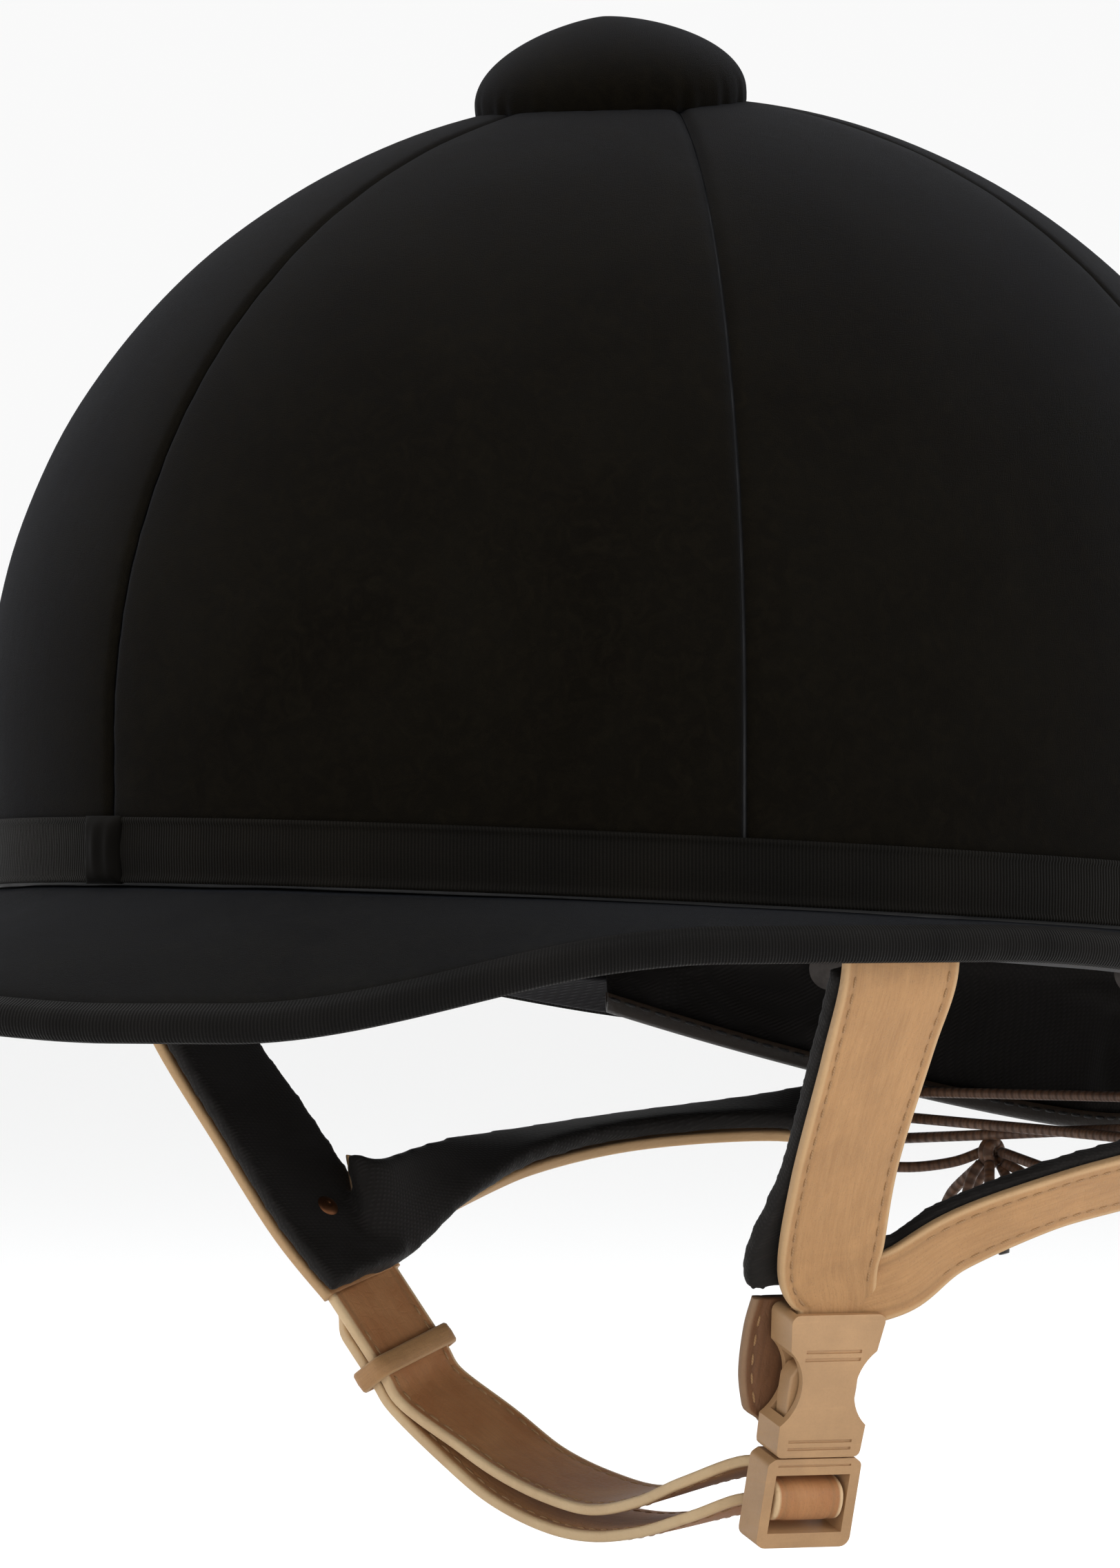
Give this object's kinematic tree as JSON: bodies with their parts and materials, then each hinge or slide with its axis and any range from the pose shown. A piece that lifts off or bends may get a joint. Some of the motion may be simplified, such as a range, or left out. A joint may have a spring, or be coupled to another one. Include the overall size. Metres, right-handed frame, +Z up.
{
  "type": "equestrian riding helmet",
  "caption": "Velvet-covered domed riding helmet with a covered button, a peak and a leather chin harness with a side-release buckle.",
  "frame": {"origin": "middle of the head opening at brow level, where the wearer's head holds the helmet", "axes": "+Z up through the crown, -Y out of the face opening over the peak, +X to the wearer's left"},
  "size_m": [0.2314, 0.314, 0.2756],
  "materials": {
    "velvet": "matte pile",
    "velvet_under": "matte weave",
    "ribbon": "ribbed",
    "shell_plastic": "moulded",
    "peak_board": "moulded",
    "foam": "beaded foam",
    "button_wood": "turned",
    "pad_fabric": "knit",
    "lining_fabric": "soft nap",
    "leather": "natural grain",
    "lace_leather": "waxed",
    "lace_tip": "smooth",
    "buckle_plastic": "fine spark texture",
    "eyelet_metal": "blackened",
    "rivet_metal": "satin",
    "rivet_brown": "satin"
  },
  "bodies": {
    "root": {"outer_shell": "shell_plastic", "cover_panel_front_left": "velvet", "cover_panel_left": "velvet", "cover_panel_rear_left": "velvet", "cover_panel_rear_right": "velvet", "cover_panel_right": "velvet", "cover_panel_front_right": "velvet", "hat_band": "ribbon", "band_knot": "ribbon", "peak_board": "peak_board", "brim_cover_top": "velvet", "brim_cover_under": "velvet_under", "rim_binding": "ribbon", "button_core": "button_wood", "button_cover": "velvet", "button_screw": "rivet_metal", "button_washer": "rivet_metal", "foam_liner": "foam", "crown_pad": "pad_fabric", "brow_pad": "pad_fabric", "rear_head_pad": "pad_fabric", "front_strap_left": "leather", "front_strap_right": "leather", "front_lining_left": "lining_fabric", "front_lining_right": "lining_fabric", "rear_strap_left": "leather", "rear_strap_right": "leather", "rear_lining_left": "lining_fabric", "rear_lining_right": "lining_fabric", "buckle_guard": "leather", "strap_rivets": "rivet_metal", "strap_washers": "rivet_metal", "join_rivets": "rivet_brown", "nape_panel": "lining_fabric", "nape_binding": "leather", "nape_rivets": "rivet_metal", "lace_eyelets": "eyelet_metal", "nape_lace": "lace_leather", "lace_knot": "lace_leather", "lace_bow": "lace_leather", "lace_tips": "lace_tip", "chin_strap": "leather", "buckle_socket": "buckle_plastic"},
    "frame": {"buckle_frame": "buckle_plastic"},
    "front_prong": {"prong_front": "buckle_plastic"},
    "rear_prong": {"prong_rear": "buckle_plastic"},
    "keeper": {"strap_keeper": "leather"}
  },
  "joints": [
    {"name": "buckle_release", "type": "slide", "parent": "root", "child": "frame", "axis": [-0.2998, 0.0748, -0.9511], "range_m": [0, 0.024], "deforming": ["chin_strap"]},
    {"name": "prong_front_press", "type": "slide", "parent": "frame", "child": "front_prong", "axis": [0.2419, 0.9703, 0], "range_m": [0, 0.0016], "stiffness_N_per_m": 400},
    {"name": "prong_rear_press", "type": "slide", "parent": "frame", "child": "rear_prong", "axis": [-0.2419, -0.9703, 0], "range_m": [0, 0.0016], "stiffness_N_per_m": 400},
    {"name": "keeper_slide", "type": "slide", "parent": "root", "child": "keeper", "axis": [0.4601, 0.3199, -0.8282], "range_m": [-0.008, 0.004]}
  ]
}
